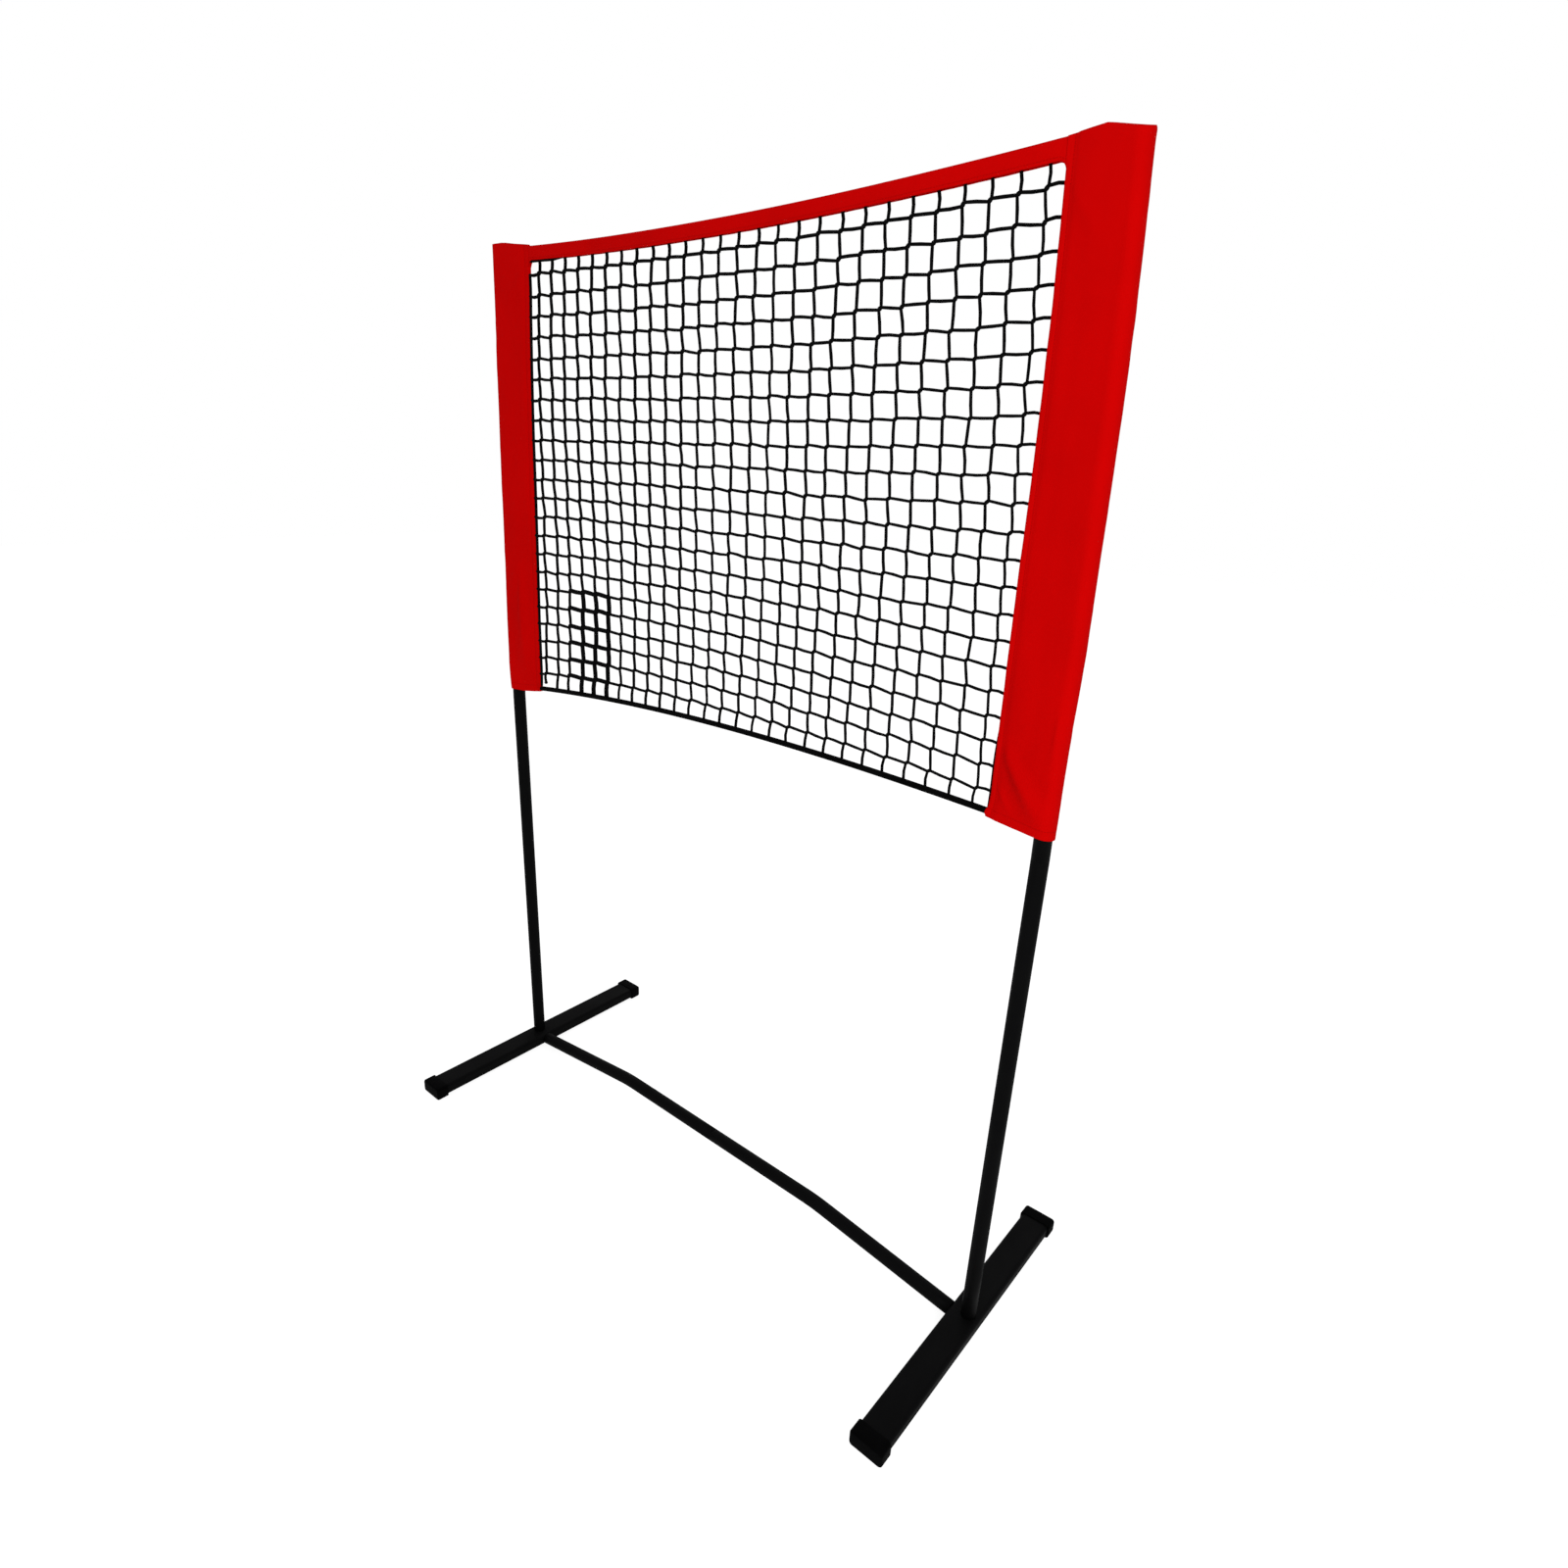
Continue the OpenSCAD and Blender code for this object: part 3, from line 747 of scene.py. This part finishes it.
# %% Strands of the mesh
SLACK_DEEP, HELD_WITHIN = 0.0030, 0.08
IN_HEM = 0.005  # how far a strand runs on into a hem
LOOSE_UP, LOOSE_ASIDE = 0.0125, 0.0035
ASIDE_Y = 0.0005  # upright strands behind, level ones in front


def sway(x, z):
    """How far the net stands off its plane: a breath of slack in the middle, none where it is sewn."""
    free = max(0.0, 1 - (abs(x) / EDGE_X) ** 4)
    under_band, over_cord = (band_top(x) - BAND_DEPTH - z) / HELD_WITHIN, (z - cord_middle(x)) / HELD_WITHIN
    held = min(1.0, max(0.0, under_band), max(0.0, over_cord))
    return SLACK_DEEP * free * held * noise.noise((4 * x, 0.5, 4 * z))


def fullness(x):
    """How thick the twine is there, against its mean."""
    return 1.0 - 0.14 * x / EDGE_X


def upright_strand(column, first=0, last=ROWS - 1, aside=0.0):
    """Points down one upright strand, between two rows."""
    points = []
    if last == ROWS - 1:
        x = grid_place(column, ROWS - 0.3)[0]
        points.append((x + aside, band_top(x) - BAND_DEPTH + IN_HEM))
    for row in range(last, first - 1, -1):
        x, z, w, h = crossings[column][row]
        points += [(x + w + aside, z + h), (x - w + aside, z - h)]
    if first == 0:
        loose = column == 0
        x = grid_place(column, -0.9)[0] - crossings[column][0][2] + LOOSE_ASIDE * loose
        points.append((x + aside, cord_middle(x) + LOOSE_UP * loose))
    return points


def level_strand(row, first=0, last=COLUMNS - 1, aside=0.0):
    """Points along one level strand, between two columns."""
    points = []
    if first == 0:
        z = grid_place(-0.8, row)[1]
        points.append((-along_line(INNER_EDGE[-1], z) - IN_HEM, z))
    for column in range(first, last + 1):
        x, z, w, h = crossings[column][row]
        points += [(x - w, z - h + aside), (x + w, z + h + aside)]
    if last == COLUMNS - 1:
        z = grid_place(COLUMNS - 0.2, row)[1]
        points.append((along_line(INNER_EDGE[1], z) + IN_HEM, z))
    return points


def round_curve(name, lines, radius, bevel_steps, curve_steps):
    """One curve with a round bevel, through lines of (x, y, z) points."""
    curve = bpy.data.curves.new(name, "CURVE")
    curve.dimensions = "3D"
    curve.bevel_depth = radius
    curve.bevel_resolution = bevel_steps
    curve.resolution_u = curve_steps
    curve.use_fill_caps = True
    for line in lines:
        spline = curve.splines.new("BEZIER")
        spline.bezier_points.add(len(line) - 1)
        for point, place in zip(spline.bezier_points, line):
            point.co = place
            point.handle_left_type = point.handle_right_type = "AUTO"
    return curve


def strands(name, lines, aside=0.0):
    """The mesh of strands through lines of (x, z) points, with its UV map."""
    places = [[(x, sway(x, z) + aside * ((x, z) not in (line[0], line[-1])), z) for x, z in line]
              for line in lines]
    curve = round_curve(name, places, TWINE_R, 1, 2)
    for spline in curve.splines:
        for point in spline.bezier_points:
            point.radius = fullness(point.co.x)
    holder = bpy.data.objects.new(name, curve)
    scene.collection.objects.link(holder)
    depsgraph = bpy.context.evaluated_depsgraph_get()
    mesh = bpy.data.meshes.new_from_object(holder.evaluated_get(depsgraph), depsgraph=depsgraph)
    bpy.data.objects.remove(holder)
    return mesh


uprights = strands("upright_strands", [upright_strand(c) for c in range(COLUMNS)], ASIDE_Y)
levels = strands("level_strands", [level_strand(r) for r in range(ROWS)], -ASIDE_Y)
print("strand faces:", len(uprights.polygons) + len(levels.polygons))

# %% [markdown]
# Near the lower left corner the net has been mended: for a few cells a second twine runs beside the
# first. An edge line closes the cells at the side. It shows beside the left sleeve, most of all at its
# foot, beside the foot of the right one, and under the left end of the band.

# %% Mend and edge line
MEND_COLUMNS, MEND_ROWS = range(3, 6), range(6)
BESIDE_X, BESIDE_Z = 0.0050, 0.0027
EDGE_STEPS, EDGE_STEP = 34, 0.0208

mend = [upright_strand(c, MEND_ROWS[0], MEND_ROWS[-1], BESIDE_X) for c in MEND_COLUMNS]
mend += [level_strand(r, 2, MEND_COLUMNS[-1], BESIDE_Z) for r in MEND_ROWS]


def side_line(side, out):
    """Points up the edge line beside a sleeve. The stops of out say how far it comes out of the hem."""
    points = []
    for step in range(EDGE_STEPS):
        z = cord_middle(side * EDGE_X) + 0.004 + step * EDGE_STEP
        points.append((side * (along_line(INNER_EDGE[side], z) + 0.0018 - along_line(out, z)), z))
    return points


edge_lines = [
    side_line(-1, [
        (0.80, 0.0015), (0.83, 0.0045), (1.15, 0.0045), (1.25, 0.0030), (1.48, 0.0026), (1.52, 0.0)]),
    side_line(1, [(0.82, -0.001), (0.84, 0.0026), (0.90, 0.0026), (0.95, -0.001)]),
    [(x / 100, band_top(x / 100) - BAND_DEPTH + 0.0030 - 0.0034 * (x < -37)) for x in range(-45, 46, 3)],
]
extra = strands("edge_and_mend", mend + edge_lines)
print("extra strands:", len(mend) + len(edge_lines))

# %% Put the mesh together
KNOT_PAST, KNOT_THICK, KNOT_DEEPER = 0.0024, 0.0029, 0.0004
LOOSE_KNOT = (0.0032, 0.0028)

knot_shape = bmesh.new()
bmesh.ops.create_uvsphere(knot_shape, u_segments=6, v_segments=5, radius=1)
knot_mesh = bpy.data.meshes.new("knot")
knot_shape.to_mesh(knot_mesh)
knot_shape.free()


def tie_knot(bm, x, z, w, h, long, thick):
    """Adds a stretched ball that lies along the slant of a crossing."""
    knot = knot_mesh.copy()
    lie = Matrix.Translation((x, sway(x, z), z)) @ Matrix.Rotation(-math.atan2(h, w), 4, "Y")
    knot.transform(lie @ Matrix.Diagonal((long, (thick + KNOT_DEEPER) * fullness(x), thick * fullness(x), 1)))
    bm.from_mesh(knot)
    bpy.data.meshes.remove(knot)


bm = bmesh.new()
for column in range(COLUMNS):
    for row in range(ROWS):
        x, z, w, h = crossings[column][row]
        tie_knot(bm, x, z, w, h, math.hypot(w, h) + KNOT_PAST, KNOT_THICK)
tie_knot(bm, *upright_strand(0)[-1], 0, 1, *LOOSE_KNOT)
for part in (uprights, levels, extra):
    bm.from_mesh(part)
add_piece("netting", bm, twine, "net", ["net_mesh"])

# %% [markdown]
# ## The cords
# A soft braided cord runs from sleeve to sleeve along the foot of the mesh. Thinner ones are sewn into
# the fold of the band and into the inner hems of the sleeves. Each is one curve with a round bevel, and
# the length of its curve is printed.


# %% Lay the cords
def cord_piece(name, points, radius, node):
    """A round cord through points, in place of a CAD node, and its length."""
    curve = round_curve(name, [points], radius, 4, 4)
    curve.materials.append(edge_cord)
    piece = bpy.data.objects.new(name, curve)
    scene.collection.objects.link(piece)
    long = sum((Vector(a) - Vector(b)).length for a, b in zip(points, points[1:]))
    print(f"{name}: {long:.3f} m long")
    return join_frame(piece, "net", [node]), long


def span(from_x, to_x, height):
    """Points from one x to another at the height that a formula gives."""
    return [(x, 0, height(x)) for x in (from_x + (to_x - from_x) * step / 40 for step in range(41))]


LEFT_END, RIGHT_END = -0.4770, 0.4660
bottom, bottom_long = cord_piece("bottom_rope", span(LEFT_END, RIGHT_END, cord_middle), CORD_R, "bottom_cord")

BAND_END, HEADLINE_DROP = 0.4630, 0.0035
HEM_R, HEM_CORD_R = 0.0031, 0.002
cord_piece(
    "headline", span(-BAND_END, BAND_END, lambda x: band_top(x) - HEADLINE_DROP), HEM_CORD_R, "headline_cord")
for side_name, side in SIDES:
    low, high = cord_middle(side * EDGE_X) + 0.007, band_top(side * EDGE_X) - 0.007
    heights = [low + (high - low) * step / 24 for step in range(25)]
    cord_piece(
        f"{side_name}_hem_cord", [(side * (along_line(INNER_EDGE[side], z) + HEM_R), 0, z) for z in heights],
        HEM_CORD_R, f"{side_name}_side_cord")

# %% [markdown]
# ## The sleeves
# A sleeve is one cloth, folded round the upright and sewn to itself at the mesh. Seen from above it is
# a drop shape: round at the tube, tapering to a stitched line, with a small tunnel for the side cord
# beyond it. A circle is extruded upwards level by level, which gives a plain tube of cloth in which
# every point is known by its turn and its level. Each point is then laid where the cloth would lie:
# the walls close over the tube at the top seam, the hem slopes, and shallow folds run from the corners
# where the cords pull. The cloth gets its thickness last.

# %% The sleeve's outline, seen from above
POCKET_R = 0.0136
RING = 96
PINCH, PINCH_WIDE = 0.30, 0.0035  # how the side seam draws the faces together
REACH_IN = POST_X - EDGE_X - HEM_R
LEAN = math.asin((POCKET_R - HEM_R) / REACH_IN)
TUNNEL = HEM_R * (math.pi / 2 - LEAN)
WALL = math.sqrt(REACH_IN ** 2 - (POCKET_R - HEM_R) ** 2)
HALF_ROUND = TUNNEL + WALL + POCKET_R * (math.pi / 2 + LEAN)


def drop_point(turn):
    """(distance outwards from the tube's axis, y, way from the hem) of one of the ring's points."""
    way = HALF_ROUND * (1 - abs(1 - 2 * turn / RING)) ** 1.25
    if way < TUNNEL:
        angle = math.pi - way / HEM_R
        x, y = -REACH_IN + HEM_R * math.cos(angle), HEM_R * math.sin(angle)
    elif way < TUNNEL + WALL:
        near = HEM_R + (POCKET_R - HEM_R) * (way - TUNNEL) / WALL
        x, y = -REACH_IN * (1 - (way - TUNNEL) / WALL) - near * math.sin(LEAN), near * math.cos(LEAN)
        y *= 1 - PINCH * math.exp(-((way - SIDE_SEAM) / PINCH_WIDE) ** 2)
    else:
        angle = math.pi / 2 + LEAN - (way - TUNNEL - WALL) / POCKET_R
        x, y = POCKET_R * math.cos(angle), POCKET_R * math.sin(angle)
    return x, y if turn > RING / 2 else -y, way


drop = [drop_point(turn) for turn in range(RING)]
print(f"cloth round a sleeve: {2000 * HALF_ROUND:.0f} mm")

# %% How the cloth of a sleeve lies
GIVE = 0.004  # the way over which cloth eases off the end of what lies in it
CALM = 0.05  # the stretch at hem and top that stays smooth
CLOSING = {-1: 0.20, 1: 0.30}  # how far down the roof slopes, against the half thickness
REAR_FOLDS = 0.3


def eased(value):
    """0 below 0, 1 above 1 and a soft step between."""
    value = max(0.0, min(1.0, value))
    return value * value * (3 - 2 * value)


def crease(x, z, start, end, width):
    """Height of a soft ridge that runs from start to end and widens and fades on the way."""
    run = Vector((end[0] - start[0], end[1] - start[1]))
    here = Vector((x - start[0], z - start[1]))
    share = here.dot(run) / run.length_squared
    if not 0 < share < 1:
        return 0.0
    aside = (here.x * run.y - here.y * run.x) / run.length
    return math.exp(-(aside / (width * (0.5 + share))) ** 2) * math.sin(math.pi * share ** 0.7)


def core(side, x, z):
    """Half the thickness of the cord or band that lies inside the sleeve at this place."""
    end = -LEFT_END if side < 0 else RIGHT_END
    from_cord = abs(z - cord_middle(side * x))
    cord = math.sqrt(max(0.0, (CORD_R + 0.0007) ** 2 - from_cord ** 2)) * eased((end + GIVE - x) / GIVE)
    under_top = band_top(side * x) - z
    in_band = eased((under_top + 0.001) / 0.002) * eased((0.030 - under_top) / 0.008)
    band = 0.0032 + 0.0006 * eased((0.009 - under_top) / 0.004)
    return max(cord, band * in_band * eased((BAND_END + GIVE - x) / GIVE))


def cloth_point(side, turn, share, hem, top, creases, seed):
    """Where the cloth of a sleeve lies at that turn round it and that share of its height."""
    out, y, way = drop[turn]
    face = 1 if y > 0 else -1
    flat = max(0.0, min(1.0, (way - TUNNEL) / WALL))
    x = POST_X + out
    low, high = along_line(hem, x), along_line(top, x)
    z = low + share * (high - low)
    calm = min(1.0, (high - z) / CALM, (z - low) / CALM)

    middle = math.sin(math.pi * flat ** 0.8)
    slack = 0.0015 * noise.noise((2.0 * flat, seed, 5 * z))
    slack += 0.0006 * noise.noise((4 * flat, seed + 5, 15 * z))
    puff = 0.0007 + 0.0006 * noise.noise((2 * flat, seed + 9 * face, 9 * z))
    folds = sum(height * crease(x, z, start, end, width) for start, end, width, height in creases)
    folds *= 1 if face < 0 else REAR_FOLDS
    round_tube = eased((way - TUNNEL - WALL) / 0.006)
    loose = 0.0002 + 0.0008 * noise.noise((40 * y, seed + 2, 13 * z))
    loose += 0.0004 * noise.noise((90 * y, seed, 45 * z))
    hug = 1 + max(0.0, loose) * calm * round_tube / POCKET_R
    x, y = POST_X + out * hug, y * hug
    y += middle * (slack + face * max(0.0, puff)) + face * folds * eased(4 * flat)

    x += (along_line(INNER_EDGE[side], z) - EDGE_X) * (1 - flat) + along_line(STAND_OFF[side], z) * flat
    x += 0.0005 * noise.noise((0, seed + 3, 21 * z)) * (1 - flat) * calm
    closing = max(0.0012, CLOSING[side] * abs(drop[turn][1]))
    y *= min(1.0, (high - z) / closing) ** 0.8
    if way > 0:
        y = face * max(abs(y), core(side, x, z) * (high - z > MERGE))
    return Vector((side * x, y, z))


print("sleeve formulas ready")

# %% Sew the two sleeves
LEVELS, CROWDED = 110, 0.8  # more levels near the hem and the top
CLOTH = 0.0006


def sleeve(name, side, hem, top, creases, seed, node):
    """A red pocket sleeve with these lines for its hem and its top edge."""
    bm = bmesh.new()
    bmesh.ops.create_circle(bm, segments=RING, radius=1)
    tube_along(bm, list(bm.edges), (0, 0, 1), LEVELS)
    uv = bm.loops.layers.uv.new("UVMap")
    height = top[0][1] - hem[0][1]
    laid = {}
    for v in bm.verts:
        turn = round(math.atan2(v.co.y, v.co.x) / (2 * math.pi) * RING) % RING
        level = round(v.co.z) / LEVELS
        share = level - CROWDED * math.sin(2 * math.pi * level) / (2 * math.pi)
        laid[v] = (drop[turn][2], share * height)
        v.co = cloth_point(side, turn, share, hem, top, creases, seed)
    for face in bm.faces:
        for loop in face.loops:
            loop[uv].uv = laid[loop.vert]
    top_row = [v for v in bm.verts if laid[v][1] > height - MERGE]
    bmesh.ops.remove_doubles(bm, verts=top_row, dist=1e-5)
    bmesh.ops.recalc_face_normals(bm, faces=bm.faces)
    piece = add_piece(name, bm, sleeve_cloth, "net", [node])
    thicken(piece, "cloth", CLOTH, 0)


# The lines are (distance from the middle of the net, height), from the mesh outwards. A crease has a
# start and an end like them, a width and a height.
left_hem = [(0.4590, 0.8028), (0.4700, 0.8010), (0.5000, 0.7975), (0.5530, 0.7955)]
left_top = [
    (0.4590, 1.5424), (0.4780, 1.5450), (0.5000, 1.5477), (0.5180, 1.5505), (0.5240, 1.5514),
    (0.5530, 1.5512)]
left_creases = [
    ((0.4990, 1.020), (0.4930, 0.815), 0.0110, 0.0046), ((0.4780, 1.060), (0.5380, 0.985), 0.006, 0.0018),
    ((0.4620, 1.512), (0.5200, 1.455), 0.006, 0.0012)]
sleeve("left_sleeve_cloth", -1, left_hem, left_top, left_creases, 3, "left_sleeve")

right_hem = [(0.4590, 0.8175), (0.4680, 0.8161), (0.5000, 0.8139), (0.5300, 0.8121), (0.5530, 0.8106)]
right_top = [
    (0.4590, 1.5555), (0.5020, 1.5600), (0.5090, 1.5588), (0.5250, 1.5554), (0.5410, 1.5521),
    (0.5530, 1.5499)]
right_creases = [
    ((0.4720, 0.9130), (0.5450, 0.8180), 0.0115, 0.0084), ((0.4630, 0.870), (0.4920, 0.830), 0.004, 0.0026),
    ((0.5385, 0.970), (0.5395, 0.905), 0.004, 0.0022), ((0.4620, 1.520), (0.5220, 1.440), 0.006, 0.0012)]
sleeve("right_sleeve_cloth", 1, right_hem, right_top, right_creases, 12, "right_sleeve")

# %% [markdown]
# ## The top band
# The band is a tape that is folded over the headline and the top row of the mesh and sewn through. Its
# cross-section is drawn with three operators: a point is drawn up the front, spun half a turn over the
# headline and drawn down the back. The section is then extruded from sleeve to sleeve and bent to the
# headline's sag, and its lower edge is widened into a small round gusset at either end.

# %% Fold the band
FOLD_R = 0.0032
FINE, FINE_STEPS, LONG_STEPS = 0.001, 26, 200  # short steps at either end, for the gussets
FRONT = [(-0.0031, -BAND_DEPTH), (-0.0029, -0.0180), (-0.0026, -0.0150), (-0.0025, -0.0115),
         (-0.0025, -0.0085), (-0.0027, -0.0060), (-FOLD_R, -HEADLINE_DROP)]


def draw_on(bm, end, path):
    """Draws a line of points on from end, along a path of (y, z) places."""
    for here, there in zip(path, path[1:]):
        end = bmesh.ops.extrude_vert_indiv(bm, verts=[end])["verts"][0]
        bmesh.ops.translate(bm, verts=[end], vec=(0, there[0] - here[0], there[1] - here[1]))
    return end


bm = bmesh.new()
end = draw_on(bm, bm.verts.new((-BAND_END, *FRONT[0])), FRONT)
spun = bmesh.ops.spin(
    bm, geom=[end], steps=10, angle=-math.pi, axis=(1, 0, 0), cent=(-BAND_END, 0, FRONT[-1][1]),
    use_duplicate=False)
draw_on(bm, verts_in(spun["geom_last"])[0], [(-y, z) for y, z in reversed(FRONT)])
bmesh.ops.remove_doubles(bm, verts=bm.verts, dist=MERGE)
section = tube_along(bm, list(bm.edges), (FINE, 0, 0), FINE_STEPS)
section = tube_along(bm, section, (2 * (BAND_END - FINE * FINE_STEPS) / LONG_STEPS, 0, 0), LONG_STEPS)
tube_along(bm, section, (FINE, 0, 0), FINE_STEPS)

uv = bm.loops.layers.uv.new("UVMap")
laid = {v: (v.co.z - FRONT[0][1], v.co.x + BAND_END) for v in bm.verts}
for face in bm.faces:
    for loop in face.loops:
        loop[uv].uv = laid[loop.vert]
for v in bm.verts:
    x, y, z = v.co
    down = -z / BAND_DEPTH
    end_near = eased((abs(x) - EDGE_X + 0.012) / 0.006)
    ripple = 0.0003 * noise.noise((60 * x, 0, 4 * y)) * down
    tilt = 0.0010 * noise.noise((5 * x, 3, 0)) * (1 - end_near)
    z = band_top(x) - down * (band_top(x) - band_foot(x)) + ripple
    v.co = (x, y * (1 - 0.15 * end_near) + tilt + ripple, z)
bmesh.ops.recalc_face_normals(bm, faces=bm.faces)
band = add_piece("top_band_cloth", bm, band_cloth, "net", ["top_band"])
thicken(band, "cloth", CLOTH, 0)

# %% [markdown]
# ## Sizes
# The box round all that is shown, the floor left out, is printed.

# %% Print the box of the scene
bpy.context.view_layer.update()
for low, high, name in zip(*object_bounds(), "XYZ"):
    print(f"{name}: {1000 * low:.1f} to {1000 * high:.1f} mm")
